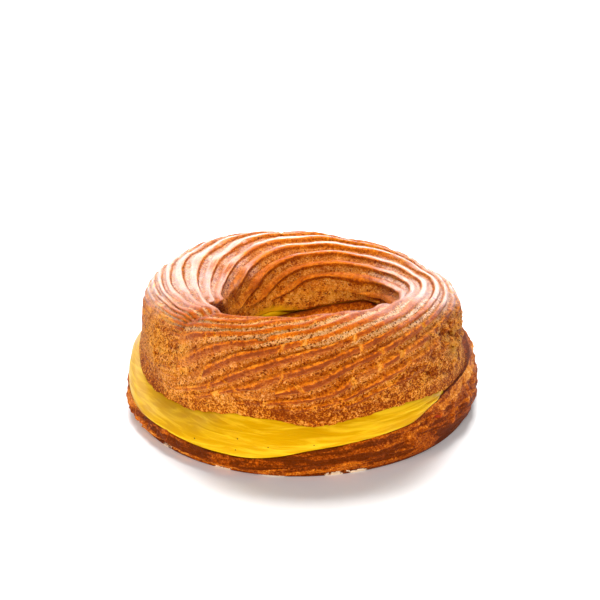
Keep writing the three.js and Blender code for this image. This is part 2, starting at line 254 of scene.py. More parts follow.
# bed and roof of the pocket
def pocketAt(size, share):
    middle = blend(size["seam"], (size["lip"] + size["rim"]) / 2, share)
    inward = blend(size["innerLip"] - size["seam"], pocket["half"],
                   smoothStep(*pocket["widens"], share))
    half = blend(inward, (size["lip"] - size["rim"]) / 2, smoothStep(*pocket["narrows"], share))
    return middle - half, middle + half


def pocketRadius(size, share):
    return blend(size["seamRadius"], size["lipRadius"], share)


# angles of a piece's columns, closer together on the front
def columnAngles(first):
    lap = np.linspace(-360, 720, 2161)
    angles = lap - ring["frontCrowding"] / radians * np.sin((lap - 270) * radians)
    start = np.interp(first, angles, lap)
    return np.interp(start + np.arange(ring["columns"]) * 360 / ring["columns"], lap, angles)


# joins two closed loops of points by the order of their keys, so that equal keys meet
def joinLoops(firstKeys, secondKeys, firstStart, secondStart):
    firstCount, secondCount = len(firstKeys), len(secondKeys)
    following = np.concatenate([firstKeys[1:], [np.inf], secondKeys[1:], [np.inf]])
    order = np.argsort(following, kind="stable")
    firstGoes = order < firstCount
    a = np.cumsum(firstGoes) - firstGoes
    b = np.cumsum(~firstGoes) - ~firstGoes
    third = np.where(firstGoes, firstStart + (a + 1) % firstCount,
                     secondStart + (b + 1) % secondCount)
    return np.stack([firstStart + a % firstCount, secondStart + b % secondCount, third], axis=1)


# joins every loop of a ring to the next; the last strip may use keys of its own
def ringFaces(keys, seamKeys=None):
    starts = np.concatenate([[0], np.cumsum([len(loop) for loop in keys])])
    strips = []
    for index in range(len(keys)):
        following = (index + 1) % len(keys)
        table = seamKeys if following == 0 and seamKeys is not None else keys
        strips.append(joinLoops(table[index], table[following], starts[index], starts[following]))
    return strips


def roundRing(radius, theta, height):
    return np.stack([radius * np.cos(theta * radians), radius * np.sin(theta * radians), height],
                    axis=1)


# a point for every row of every column, for pieces whose columns all have the same rows
def evenRows(part, share):
    columnThetas = columnAngles(0)
    keys = [np.arange(len(share), dtype=float)] * ring["columns"]
    faces = np.concatenate(ringFaces(keys))
    return (np.repeat(columnThetas, len(share)), np.tile(part, ring["columns"]),
            np.tile(share, ring["columns"]), faces)


def makePiece(name, points, faces, material, masks, mapping=None):
    mesh = bpy.data.meshes.new(name)
    mesh.from_pydata((points * toMetres).tolist(), [], faces.tolist())
    mesh.polygons.foreach_set("use_smooth", [True] * len(mesh.polygons))
    for label, values in masks.items():
        layer = mesh.attributes.new(label, "FLOAT", "POINT")
        layer.data.foreach_set("value", values.astype(np.float32))
    if mapping is not None:
        layer = mesh.uv_layers.new(name="pipedMap")
        layer.data.foreach_set("uv", mapping.astype(np.float32).ravel())
    mesh.materials.append(material)
    piece = bpy.data.objects.new(name, mesh)
    bpy.context.scene.collection.objects.link(piece)
    return piece


bumpDepth = 0.8 * toMetres  # how far the highest grain of a material stands out


# a desk for laying out shader nodes; values may be numbers or sockets
class NodeDesk:
    def __init__(self, tree):
        self.tree = tree
        self.count = 0

    def feed(self, socket, value):
        if isinstance(value, bpy.types.NodeSocket):
            self.tree.links.new(value, socket)
        else:
            socket.default_value = value

    def add(self, kind, inputs=None, **settings):
        node = self.tree.nodes.new(kind)
        node.location = (220 * (self.count % 8), -260 * (self.count // 8))
        self.count += 1
        for key, value in settings.items():
            setattr(node, key, value)
        for key, value in (inputs or {}).items():
            self.feed(node.inputs[key], value)
        return node

    def maths(self, operation, *values):
        return self.add("ShaderNodeMath", dict(enumerate(values)), operation=operation).outputs[0]

    def times(self, first, *others):
        for other in others:
            first = self.maths("MULTIPLY", first, other)
        return first

    def rest(self, value):
        return self.maths("SUBTRACT", 1.0, value)

    def centred(self, value):
        return self.maths("SUBTRACT", value, 0.5)

    # a start value plus (value, weight) pairs
    def total(self, start, *terms):
        for value, weight in terms:
            start = self.maths("MULTIPLY_ADD", value, weight, start)
        return start

    def between(self, low, high, share):
        return self.total(low, (share, high - low))

    # the table's start value plus each feature by its weight in the table
    def tally(self, weights, features):
        terms = [(features[name], weight) for name, weight in weights.items() if name != "start"]
        return self.total(weights["start"], *terms)

    def step(self, value, low, high):
        return self.add("ShaderNodeMapRange", {0: value, 1: low, 2: high, 3: 0.0, 4: 1.0},
                        interpolation_type="SMOOTHSTEP").outputs[0]

    def fall(self, value, low, high):
        return self.step(value, high, low)

    def band(self, value, riseFrom, riseTo, fallFrom, fallTo):
        return self.times(self.step(value, riseFrom, riseTo), self.fall(value, fallFrom, fallTo))

    def mixColour(self, share, first, second):
        colours = [value if isinstance(value, bpy.types.NodeSocket) else (*value, 1)
                   for value in (first, second)]
        return self.add("ShaderNodeMix", {"Factor": share, 6: colours[0], 7: colours[1]},
                        data_type="RGBA").outputs[2]

    def mask(self, name):
        return self.add("ShaderNodeAttribute", attribute_name=name).outputs["Fac"]

    def masks(self, *names):
        return {name: self.mask(name) for name in names}

    def scaled(self, vector, sizes):
        return self.add("ShaderNodeVectorMath", {0: vector, 1: sizes},
                        operation="MULTIPLY").outputs[0]

    def cloud(self, vector, scale, detail=4, rough=0.55, distortion=0.0):
        return self.add("ShaderNodeTexNoise", {
            "Vector": vector, "Scale": scale, "Detail": detail, "Roughness": rough,
            "Distortion": distortion}).outputs["Fac"]

    # a cloud with its middle tones pulled apart between low and high
    def patches(self, vector, scale, detail, rough, low, high, distortion=0.0):
        return self.step(self.cloud(vector, scale, detail, rough, distortion), low, high)

    def bump(self, height, strength):
        return self.add("ShaderNodeBump", {"Height": height, "Distance": bumpDepth,
                                           "Strength": strength}).outputs[0]

    def principled(self, inputs):
        shader = self.add("ShaderNodeBsdfPrincipled", inputs)
        self.add("ShaderNodeOutputMaterial", {0: shader.outputs[0]})


def newMaterial(name):
    material = bpy.data.materials.new(name)
    material.use_nodes = True
    material.node_tree.nodes.clear()
    return material, NodeDesk(material.node_tree)


# a new node group with its desk and its input node
def newGroup(name, inputs, outputs):
    group = bpy.data.node_groups.new(name, "ShaderNodeTree")
    for label, kind in inputs:
        group.interface.new_socket(label, in_out="INPUT", socket_type=kind)
    for label, kind in outputs:
        group.interface.new_socket(label, in_out="OUTPUT", socket_type=kind)
    desk = NodeDesk(group)
    return group, desk, desk.add("NodeGroupInput").outputs


floatSocket, vectorSocket, colourSocket = "NodeSocketFloat", "NodeSocketVector", "NodeSocketColor"


# dark pores, broad mottling and fine relief of baked choux; vector in millimetres
def makeCrumbGroup():
    group, desk, given = newGroup(
        "bakedCrumb",
        [("Vector", vectorSocket), ("Pore Spacing", floatSocket), ("Pore Share", floatSocket),
         ("Mottle Size", floatSocket)],
        [("Pores", floatSocket), ("Mottle", floatSocket), ("Relief", floatSocket),
         ("Grit", floatSocket)])
    place = given["Vector"]
    shake = desk.add("ShaderNodeTexNoise", {"Vector": place, "Scale": 0.9, "Detail": 3.0})
    shaken = desk.scaled(shake.outputs["Color"], (0.9, 0.9, 0.9))
    warped = desk.add("ShaderNodeVectorMath", {0: place, 1: shaken}, operation="ADD").outputs[0]
    density = desk.maths("DIVIDE", 1.0, given["Pore Spacing"])
    cells = desk.add("ShaderNodeTexVoronoi", {"Vector": warped, "Scale": density}, feature="F1")
    width = desk.times(given["Pore Share"], desk.cloud(place, 0.7, 2))
    mottleScale = desk.maths("DIVIDE", 1.0, given["Mottle Size"])
    desk.add("NodeGroupOutput", {
        "Pores": desk.fall(cells.outputs["Distance"], desk.times(width, 0.5), width),
        "Mottle": desk.cloud(place, mottleScale, 5, 0.62, 0.6),
        "Relief": desk.cloud(place, 2.2, 6, 0.7),
        "Grit": desk.patches(warped, 1.2, 5, 0.75, 0.38, 0.62)})
    return group


# runs of browns by tone, from scorched to pale: glossy caramel skin, and dry open crumb
caramelTones = [(0.0, (0.050, 0.008, 0.0)), (1.0, (1.0, 0.53, 0.11)),
                (0.14, (0.17, 0.026, 0.0)), (0.3, (0.33, 0.050, 0.0005)),
                (0.45, (0.52, 0.100, 0.002)), (0.6, (0.70, 0.180, 0.006)),
                (0.8, (0.90, 0.33, 0.03))]
crumbTones = [(0.0, (0.050, 0.009, 0.003)), (1.0, (1.0, 0.66, 0.34)),
              (0.14, (0.16, 0.03, 0.006)), (0.3, (0.29, 0.058, 0.011)),
              (0.45, (0.44, 0.115, 0.022)), (0.6, (0.62, 0.205, 0.045)),
              (0.8, (0.86, 0.39, 0.12))]


def addRamp(desk, value, tones):
    ramp = desk.add("ShaderNodeValToRGB", {"Fac": value})
    stops = ramp.color_ramp.elements
    for index, (place, colour) in enumerate(tones):
        stop = stops[index] if index < 2 else stops.new(place)
        stop.position = place
        stop.color = (*colour, 1)
    return ramp.outputs["Color"]


# the crust's colour from its tone and its share of dry crumb, both from 0 to 1
def makeToneGroup():
    group, desk, given = newGroup("bakedTone", [("Tone", floatSocket), ("Crumb", floatSocket)],
                                  [("Colour", colourSocket)])
    share = desk.add("ShaderNodeClamp", {"Value": given["Crumb"]}).outputs[0]
    caramel = addRamp(desk, given["Tone"], caramelTones)
    dry = addRamp(desk, given["Tone"], crumbTones)
    desk.add("NodeGroupOutput", {"Colour": desk.mixColour(share, caramel, dry)})
    return group


crumbGroup = makeCrumbGroup()
toneGroup = makeToneGroup()


def placeCrumb(desk, vector, poreSpacing, poreShare, mottleSize):
    return desk.add("ShaderNodeGroup", {
        "Vector": vector, "Pore Spacing": poreSpacing, "Pore Share": poreShare,
        "Mottle Size": mottleSize}, node_tree=crumbGroup).outputs


def bakedColour(desk, tone, crumbShare):
    return desk.add("ShaderNodeGroup", {"Tone": tone, "Crumb": crumbShare},
                    node_tree=toneGroup).outputs["Colour"]


def millimetres(desk):
    return desk.scaled(desk.add("ShaderNodeTexCoord").outputs["Object"], (1000, 1000, 1000))


# cream smeared on the crust, and a painted glow of yellow light from the cream round its opening in
# the hole
def addSmearAndGlow(desk, colour, grit, look):
    creamSmearAndGlow = desk.step(desk.total(desk.mask("creamSmearAndGlow"), (grit, 0.3)), 0.15, 0.9)
    return desk.mixColour(creamSmearAndGlow, colour, look["smearAndGlowColour"])


# red specks on the crust
def addSpecks(desk, colour, look):
    return desk.mixColour(desk.step(desk.mask("speck"), *look["speckEdge"]), colour, look["speck"])


crown = {
    "sectionPower": 0.858,
    "shoulderShare": 0.438,
    "outerTuck": 0.8,
    "innerTuck": 0.9,
    "lipFlares": [(194, 20, 2.4), (347, 36, 2)],  # theta, width, how far the lip turns out
    "cragHeight": 0.42,
    "cragWaves": (11, 2.4, 1.7),  # waves round, waves across, seed
    "settle": 0.15,  # lowers all relief, so that crags stay within the solid's outline
    "leastRelief": 0.12,  # share of the relief that is left at the lip
    # the crease where the two ends of the piped rope meet
    "pinch": {"theta": 217, "width": 4, "depth": 1.7, "across": (45, 85, 185, 200)},
    "ridged": (-62, -25, 186, 206),  # the ridges rise and end between these values of phi
    "ridgeHeight": 0.85,
    "ridgeRise": 0.17,  # this and the next two are shares of the pitch
    "ridgeFall": (0.53, 0.67),
    "ridgeSofter": 0.07,  # the fall is this much wider each way, over the top and in the hole
    # noises are given as (depth, width of a lump, seed)
    "ridgeJitter": [(0.05, 3.5, 3), (0.03, 1.2, 4)],
    "raggedLip": [(0.45, 2.4, 51), (0.25, 1.0, 52)],
    "creases": [(0.8, 5.5, 35), (1.1, 2.2, 37), (0.7, 1.2, 38)],
    # low on the front the ridges have split into short tiles
    "tileLength": 9.0,
    "tileStagger": 7.3,
    "tileWander": [(0.9, 9, 6), (0.07, 1.5, 7)],
    "tiled": (-70, -30, 45, 82),
    # areas as (theta, phi, half width, half height, amount): where the ridges are lost,
    # where the crust is torn open, where it is sunk (in mm) and where it is baked paler
    "plain": [(202, 15, 20, 42, 1), (340, 8, 20, 40, 0.8), (320, -18, 17, 26, 0.8),
              (270, -55, 110, 34, 0.8),
              (70, 198, 38, 25, 1), (162, 173, 21, 24, 1)],
    "torn": [(338, 0, 17, 44, 1.4), (318, -22, 14, 26, 0.8), (204, 4, 14, 40, 0.4),
             (262, -40, 55, 20, 0.5)],
    "sunk": [(150, 174, 24, 12, 0.6), (254.5, 60, 2, 4.5, 1.4),
             (286.5, 53, 1.6, 3.5, 1.2), (322.5, 0, 4, 7, 1.3), (331, -27, 4, 9, 1.0),
             (343, 12, 5, 9, 0.9), (85, 184, 1.3, 9, 0.9), (302, -1, 4, 2.2, 0.7),
             (235.5, 28, 0.7, 9, 0.8), (277, -14, 7, 4, 0.6), (262, -22, 5, 4, 0.6)],
    "pale": [(203, 12, 22, 46, 0.21), (212, -40, 14, 20, 0.08), (268, -48, 14, 14, -0.12),
             (76, 188, 30, 20, 0.06), (338, 0, 24, 46, 0.22)],
    "smears": [(95.5, 79, 0.8, 3, 1)],  # cream on the crust
    "specks": [(341, 75, 1.1, 3, 1)],  # red
    "polished": [(155, 36), (20, 34)],  # theta and width of the glossiest stretches
    "flatSide": (172, 45, 0.85),  # theta, width and loss of ridge height, low on the left
    "flatTop": (165, 50, 0.42),  # the same over the top
    # the notch under the cut ends of the ridges, beside the pinch
    "notch": {"theta": 187, "phi": 142, "lean": -0.55, "far": 206, "low": 124, "high": 186,
              "depth": 2.2, "tips": 0.7},
    # a thin raised skin edge on the hole's wall
    "skinEdge": {"from": 128, "to": 169, "phi": 178, "halfWidth": 2.0, "height": 0.45},
    # where the bands of colour lie across one ridge, in shares of its pitch
    "bodyRise": (-0.02, 0.12),
    "bodyFall": (0.57, 0.64),
    "rimRise": (0.44, 0.55),
    "rimFall": (0.60, 0.66),
    "rimWider": 0.11,  # on the tiles
    "backShift": 0.07,
    "sideBand": (0.56, 0.62, 0.72, 0.84),
    "tileFade": (0.02, 0.34),
    "webMiddle": 0.32,
    "webReach": (0.26, 0.34),
    # how much each feature adds to the crust's tone
    "tone": {
        "start": 0.60,
        "grit": 0.22,
        "mottle": 0.14,
        "bareSpeckle": 0.20,
        "broad": 0.08,
        "body": -0.12,
        "streaks": 0.12,  # fine lines along the ridges
        "centre": -0.28,  # browner middles of the tiles
        "fade": 0.22,  # the tiles grow paler towards their lower edge
        # the top edge of each ridge is brighter caramel, partly a painted highlight where the edge
        # catches the light
        "rim": 0.14,
        # the steep side of each ridge is darker: partly deeper caramel, partly painted shade
        "side": -0.26,
        "pores": -0.85,
        "baked": 1.0,
        "edge": 0.16,  # of a flake of skin
        "open": -0.12,  # between flakes
        "web": 0.22,
        "topValley": 0.33,
        "topBody": -0.02,
        "polished": 0.03,
        "topPores": -0.8,
        "fine": 0.24,
        "lift": 0.18,  # torn crust is paler where it stands proud
        # darker pits, and painted shadow under the cut ends of the ridges
        "pits": -0.30,
        "top": -0.04,
        "hollows": -0.32,
        # painted shade along the seam in the hole
        "seam": -0.34,
        "crest": 0.24,  # pale crests and brown hollows of the torn crust
        # the hole's wall is paler, partly painted light in the shaded hole
        "inside": 0.12,
    },
    "toneLimits": (0.2, 0.86),
    # how much each feature adds to the share of dry crumb in the colour
    "crumb": {
        "start": 0.32,
        "speckle": 0.9,
        "rim": -0.9,
        "side": -0.8,
        "centre": 0.7,
        "edge": -0.6,
        "open": 0.3,
        "web": -0.7,
        "topValley": 0.55,
        "topBody": -0.9,
        "inside": -0.5,
        "plain": -0.7,
        "lowValley": 0.1,
    },
    # colour of the cream smear and of the painted glow round the cream's opening in the hole
    "smearAndGlowColour": (0.95, 0.41, 0.004),
    "speck": (0.42, 0.012, 0.006),
    "speckEdge": (0.3, 0.7),
    "valleyRough": 0.6,
    "bodyRough": 0.4,
    "specular": 0.06,
    "coatRough": 0.22,
    "coatBump": 0.2,
}

# the course of the ridges
twist = {
    "outerPitch": 15.9,  # degrees of phi from ridge to ridge on the outside
    "innerPitch": 23,
    "turn": 97,
    "blend": 12,
    "start": 270,
    "slope": 0.0314,  # ridges crossed for each degree round the ring
    "waves": [0.517, -0.509, 0.391, 0.238],
    "fanStart": 500,
    "fanPinch": 0.573,
    "fanCentre": 121.5,
    "drift": 0.35,  # ridges past the front lie this share of a pitch further in
    "driftFrom": 280,
    "driftTo": 340,
    "slantTurn": 2.0,
    "slantFrom": 214,
    "slantTo": 275,
    "slantLow": -5,
    "slantHigh": 65,
    # on the hole's wall, back left, the ridges run down and leave a plain hollow above them
    "plunge": {"ridges": 0.4, "from": 460, "to": 500, "low": 140, "high": 180},
    # small shifts of the ridges, as (theta, phi, half width, half height, ridges)
    "nudges": [(100, 130, 45, 45, 0.2), (85, 168, 14, 16, 0.2), (8, 110, 22, 45, 0.35),
               (47, 168, 16, 14, -0.42), (50, 84, 14, 10, 0.2), (275, -5, 30, 30, 0.2)],
}


# theta of the notch's mouth
def notchMouth(phi):
    return crown["notch"]["theta"] + crown["notch"]["lean"] * (phi - crown["notch"]["phi"])


# how far a point lies inside the notch, from 0 to 1
def notchAt(theta, phi):
    notch = crown["notch"]
    mouth = notchMouth(phi)
    return (window(theta % 360, mouth, mouth + 1.4, notch["far"], notch["far"] + 9)
            * window(phi, notch["low"], notch["low"] + 12, notch["high"], notch["high"] + 12))


# share of the pitch by which the ridges are narrower: high on the front and in the hole
def narrowing(theta, phi):
    return (0.22 * smoothStep(38, 66, phi) * bump(theta, 268, 52)
            + 0.16 * smoothStep(88, 118, phi) * bump(theta, 85, 48))


def skinEdgeAt(theta, phi):
    edge = crown["skinEdge"]
    middle = edge["phi"] + 4 * np.sin((theta - edge["from"]) * radians * 6)
    return (np.exp(-((phi - middle) / edge["halfWidth"]) ** 2)
            * window(theta, edge["from"], edge["from"] + 5, edge["to"] - 6, edge["to"]))


# ridges passed at a point of the crown: each whole number starts a ridge
def ridgeCount(theta, phi):
    lapEnd = crown["pinch"]["theta"] + 360
    fan = 1 + twist["fanPinch"] * smoothStep(twist["fanStart"], lapEnd, theta)
    spread = twist["fanCentre"] + (phi - twist["fanCentre"]) * fan
    past = twist["blend"] * np.logaddexp(0, (spread - twist["turn"]) / twist["blend"])
    angle = (theta - twist["start"]) * radians
    waves = twist["waves"]
    crossed = (twist["slope"] * (theta - twist["start"]) + waves[0] * np.sin(angle)
               + waves[1] * (1 - np.cos(angle)) + waves[2] * np.sin(2 * angle)
               + waves[3] * (1 - np.cos(2 * angle)))
    toGo = np.clip((twist["slantTo"] - theta) / (twist["slantTo"] - twist["slantFrom"]), 0, 1)
    slant = twist["slantTurn"] * toGo ** 1.5 * fadeOut(twist["slantLow"], twist["slantHigh"], phi)
    drift = twist["drift"] * smoothStep(twist["driftFrom"], twist["driftTo"], theta)
    plunge = twist["plunge"]
    fallen = plunge["ridges"] * smoothStep(plunge["from"], plunge["to"], theta) * (
        smoothStep(plunge["low"], plunge["high"], phi))
    return (spread / twist["outerPitch"] - crossed + slant - drift - fallen
            + spots(twist["nudges"], theta, phi)
            + (1 / twist["innerPitch"] - 1 / twist["outerPitch"]) * past)


def ridgeStrength(theta, phi):
    strength = window(phi, *crown["ridged"])
    for spot in crown["plain"]:
        strength = strength * (1 - spots([spot], theta, phi))
    return strength * (1 - notchAt(theta, phi))


# the crown's section before any relief
def crownShell(size, phi):
    angle = phi * radians
    acrossShare = np.abs(np.cos(angle)) ** crown["sectionPower"]
    upShare = np.abs(np.sin(angle)) ** crown["sectionPower"]
    outside = np.cos(angle) >= 0
    above = np.sin(angle) >= 0
    edge = np.where(outside, size["outer"], size["inner"])
    lowEdge = np.where(outside, size["lipRadius"], size["seamRadius"])
    lowHeight = np.where(outside, size["lip"], size["innerLip"])
    radius = np.where(above, size["centre"] + (edge - size["centre"]) * acrossShare,
                      blend(edge, lowEdge, np.sin(angle) ** 2))
    height = np.where(above, blend(size["shoulder"], size["crest"], upShare),
                      blend(size["shoulder"], lowHeight, upShare))
    return radius, height, outside, above, upShare


# bands of colour across each ridge
def ridgeBands(desk, place):
    piped = desk.add("ShaderNodeUVMap", uv_map="pipedMap").outputs[0]
    count = desk.add("ShaderNodeSeparateXYZ", {0: piped}).outputs[1]
    wobble = desk.total(-0.15, (desk.cloud(place, 1.1, 5, 0.65), 0.3))
    pitch = desk.maths("FRACT", desk.maths("ADD", count, wobble))
    risen = desk.maths("SUBTRACT", pitch, desk.mask("narrow"))
    strength, tiles = desk.mask("ridges"), desk.mask("tiles")
    body = desk.times(desk.step(risen, *crown["bodyRise"]), desk.fall(pitch, *crown["bodyFall"]),
                      strength)
    edgePitch = desk.total(pitch, (desk.mask("back"), crown["backShift"]))
    rimPitch = desk.total(edgePitch, (tiles, crown["rimWider"]))
    uneven = desk.between(0.25, 1.0, desk.patches(place, 0.9, 4, 0.65, 0.36, 0.58))
    # a brighter caramel edge along the top of each ridge, partly a painted highlight
    rim = desk.times(desk.step(rimPitch, *crown["rimRise"]),
                     desk.fall(edgePitch, *crown["rimFall"]), strength, uneven)
    # the steep side of each ridge, darkened partly as painted shade: half as much on the front,
    # which the light reaches, and less under the glaze and on the polished stretches
    bareSide = desk.times(desk.band(edgePitch, *crown["sideBand"]), strength,
                          desk.between(1.0, 0.5, desk.mask("front")))
    side = desk.times(bareSide, desk.between(1.0, 0.6, desk.mask("glaze")),
                      desk.between(1.0, 0.35, desk.mask("polished")))
    fromMiddle = desk.maths("ABSOLUTE", desk.maths("SUBTRACT", pitch, crown["webMiddle"]))
    web = desk.times(desk.mask("web"), desk.fall(fromMiddle, *crown["webReach"]))
    centre = desk.times(tiles, body, desk.rest(rim))
    fade = desk.times(centre, desk.fall(risen, *crown["tileFade"]))
    lines = desk.cloud(desk.scaled(piped, (0.3, 7.0, 0)), 1.0, 4, 0.6, 0.3)
    return SimpleNamespace(body=body, rim=rim, bareSide=bareSide, side=side, web=web,
                           centre=centre, fade=fade, lines=lines)


def crownMaterial():
    material, desk = newMaterial("bakedCrown")
    place = millimetres(desk)
    ridge = ridgeBands(desk, place)
    body, lines = ridge.body, ridge.lines
    glazed, topFront = desk.mask("glaze"), desk.mask("topFront")
    ragged = desk.total(-0.1, (desk.cloud(place, 1.6, 4, 0.7), 0.2), (desk.mask("flake"), 1.0))
    speckle = desk.centred(desk.patches(place, 3.0, 3, 0.7, 0.38, 0.62))
    fine = desk.centred(desk.patches(place, 1.9, 4, 0.75, 0.4, 0.6))
    crumb = placeCrumb(desk, place, 1.0, 0.6, 4.0)
    smallCrumb = placeCrumb(desk, place, 0.6, 0.62, 4.0)
    bare = desk.between(1.0, 0.2, body)
    grit = desk.times(desk.centred(crumb["Grit"]), desk.between(1.0, 0.55, body))
    clusters = desk.maths("MAXIMUM", topFront, desk.patches(place, 0.45, 4, 0.6, 0.42, 0.58))
    pores = desk.maths("MAXIMUM", crumb["Pores"], desk.times(smallCrumb["Pores"], clusters))
    openPores = desk.times(pores, desk.between(0.35, 1.0, clusters), bare)
    pores = desk.times(openPores, desk.between(1.0, 0.5, glazed))
    topBody = desk.times(body, topFront)
    topValley = desk.maths("SUBTRACT", topFront, topBody)
    lowValley = desk.times(desk.rest(body), desk.mask("low"))
    features = desk.masks("baked", "polished", "lift", "pits", "top", "seam", "crest", "inside",
                          "plain")
    looseness = desk.total(0.0, (desk.mask("loose"), 1.5), (topValley, 2.7), (lowValley, 0.5))
    features.update(
        body=body, rim=ridge.rim, side=ridge.side, web=ridge.web, centre=ridge.centre,
        fade=ridge.fade, grit=grit, pores=pores, speckle=speckle,
        topBody=topBody, topValley=topValley, lowValley=lowValley,
        mottle=desk.centred(desk.step(crumb["Mottle"], 0.32, 0.68)),
        bareSpeckle=desk.times(speckle, bare),
        broad=desk.centred(desk.patches(place, 0.14, 3, 0.6, 0.3, 0.7)),
        streaks=desk.times(desk.centred(desk.step(lines, 0.3, 0.7)), body),
        edge=desk.times(desk.band(ragged, 0.4, 0.6, 0.65, 0.9), 0.8),
        open=desk.fall(ragged, 0.35, 0.6),
        topPores=desk.times(openPores, topValley),
        fine=desk.times(fine, looseness),
        hollows=desk.times(desk.patches(place, 0.5, 5, 0.72, 0.50, 0.62, 0.8),
                           features["inside"]))
    darkest, palest = crown["toneLimits"]
    tone = desk.maths("MAXIMUM", desk.tally(crown["tone"], features), darkest)
    tone = desk.maths("MINIMUM", tone, desk.between(palest, 1.0, glazed))
    colour = bakedColour(desk, tone, desk.tally(crown["crumb"], features))
    colour = addSpecks(desk, addSmearAndGlow(desk, colour, grit, crown), crown)
    grain = desk.times(desk.maths("ADD", crumb["Relief"], crumb["Grit"]), bare)
    height = desk.total(0.0, (grain, 0.55), (speckle, 0.2), (pores, -0.5), (lines, 0.12))
    coatHeight = desk.total(0.0, (desk.times(fine, bare), 0.5), (speckle, 0.25), (lines, 0.35))
    wet = desk.patches(place, 2.0, 3, 0.7, 0.42, 0.54)
    glaze = desk.times(
        glazed, desk.maths("MAXIMUM", body, desk.between(0.35, 1.0, wet)),
        desk.rest(ridge.bareSide), desk.between(1.0, 0.35, topBody),
        desk.between(1.0, 0.1, openPores))
    desk.principled({
        "Base Color": colour,
        "Roughness": desk.total(desk.between(crown["valleyRough"], crown["bodyRough"], body),
                                (crumb["Relief"], 0.12)),
        "Normal": desk.bump(height, 1.0), "IOR": 1.45, "Specular IOR Level": crown["specular"],
        "Coat Weight": glaze, "Coat Roughness": crown["coatRough"], "Coat IOR": 1.6,
        "Coat Normal": desk.bump(coatHeight, crown["coatBump"])})
    return material


# rows of one section loop: lip, ridges and inner wall, as phi with a sorting key
def crownLoop(theta, grid):
    ridgedFrom, ridgedTo = crown["ridged"][0], crown["ridged"][-1]
    counts = ridgeCount(theta, grid)
    first = math.ceil(np.interp(ridgedFrom, grid, counts))
    last = math.floor(np.interp(ridgedTo, grid, counts))
    steps = np.array([0, 0.05, 0.1, 0.15, 0.23, 0.33, 0.43, 0.51, 0.57, 0.62, 0.68, 0.84])
    places = (np.arange(first, last + 1)[:, None] + steps[None, :]).ravel()
    phi = np.interp(places, counts, grid)
    keep = phi < ridgedTo
    lipPhi = np.array([-90, -84, -78, -72, -66])
    wallPhi = np.array([212, 220, 228, 237, 247, 258, 270])
    allPhi = np.concatenate([lipPhi, phi[keep], wallPhi])
    allKeys = np.concatenate([np.arange(len(lipPhi)) - 300.0, places[keep],
                              np.arange(len(wallPhi)) + 300.0])
    return allPhi, allKeys


# every point of the crown: theta, phi, its share across the roof or -1, and the loops' keys
def crownPoints():
    grid = np.linspace(-150, 300, 901)
    roofShares = np.array([0.08, 0.25, 0.5, 0.75, 0.93])
    thetas, phis, shares, keys = [], [], [], []
    for theta in columnAngles(crown["pinch"]["theta"]):
        phi, key = crownLoop(theta, grid)
        thetas.append(np.full(len(phi) + len(roofShares), theta))
        phis.append(np.concatenate([phi, 270 + 80 * roofShares]))
        shares.append(np.concatenate([np.full(len(phi), -1.0), roofShares]))
        keys.append(np.concatenate([key, 400 + np.arange(len(roofShares))]))
    return *map(np.concatenate, (thetas, phis, shares)), keys, phis


# how far the ridges stand: a steep inner side, a domed top and a softer outer side
def pipeRidges(at):
    theta, phi = at.theta, at.phi
    placed = at.count + layered(at.flat, crown["ridgeJitter"])
    place, ridgeIndex = placed % 1, np.floor(placed)
    at.narrow = narrowing(theta, phi)
    softer = crown["ridgeSofter"] * smoothStep(75, 110, phi)
    fallFrom, fallTo = crown["ridgeFall"]
    at.profile = window(place, at.narrow, at.narrow + crown["ridgeRise"],
                        fallFrom - softer, fallTo + softer)
    at.profile = at.profile * (0.9 + 0.25 * np.clip((place - 0.1) / 0.45, 0, 1))

    # the split between tiles, the tiles that are gone, and worn spots
    stretch = (at.along / crown["tileLength"] + layered(at.flat, crown["tileWander"])
               + crown["tileStagger"] * cellValue(ridgeIndex, ridgeIndex, ridgeIndex, 5))
    nearest = np.round(stretch)
    webbed = smoothStep(0.25, 0.6, cellValue(nearest, ridgeIndex, ridgeIndex, 9))
    at.toEdge = blend(0.5, np.abs(stretch - nearest), webbed)
    at.broken = window(phi, *crown["tiled"])
    luck = cellValue(np.floor(stretch), ridgeIndex, ridgeIndex, 8)
    split = at.broken * fadeOut(0.03, 0.08, at.toEdge)
    gone = at.broken * fadeOut(-10, 30, phi) * smoothStep(0.6, 0.68, luck)
    worn = at.broken * smoothStep(0.1, 0.5, noise(at.flat, 1.7, 11))
    at.strength = np.clip(1.25 * ridgeStrength(theta, phi), 0, 1)
    at.kept = at.strength * (1 - 0.9 * split) * (1 - 0.85 * gone) * (1 - 0.3 * worn)

    sideTheta, sideWidth, sideLoss = crown["flatSide"]
    topTheta, topWidth, topLoss = crown["flatTop"]
    tips = np.exp(-(angleBetween(theta, notchMouth(phi) - 2) / 5) ** 2) * (
        window(phi, 128, 138, 164, 172))
    tall = (crown["ridgeHeight"]
            * (1 - sideLoss * bump(theta, sideTheta, sideWidth) * fadeOut(35, 75, phi))
            * (1 - topLoss * bump(theta, topTheta, topWidth) * window(phi, 40, 80, 115, 140))
            * (1 + crown["notch"]["tips"] * tips))
    at.raised = tall * at.profile * at.kept


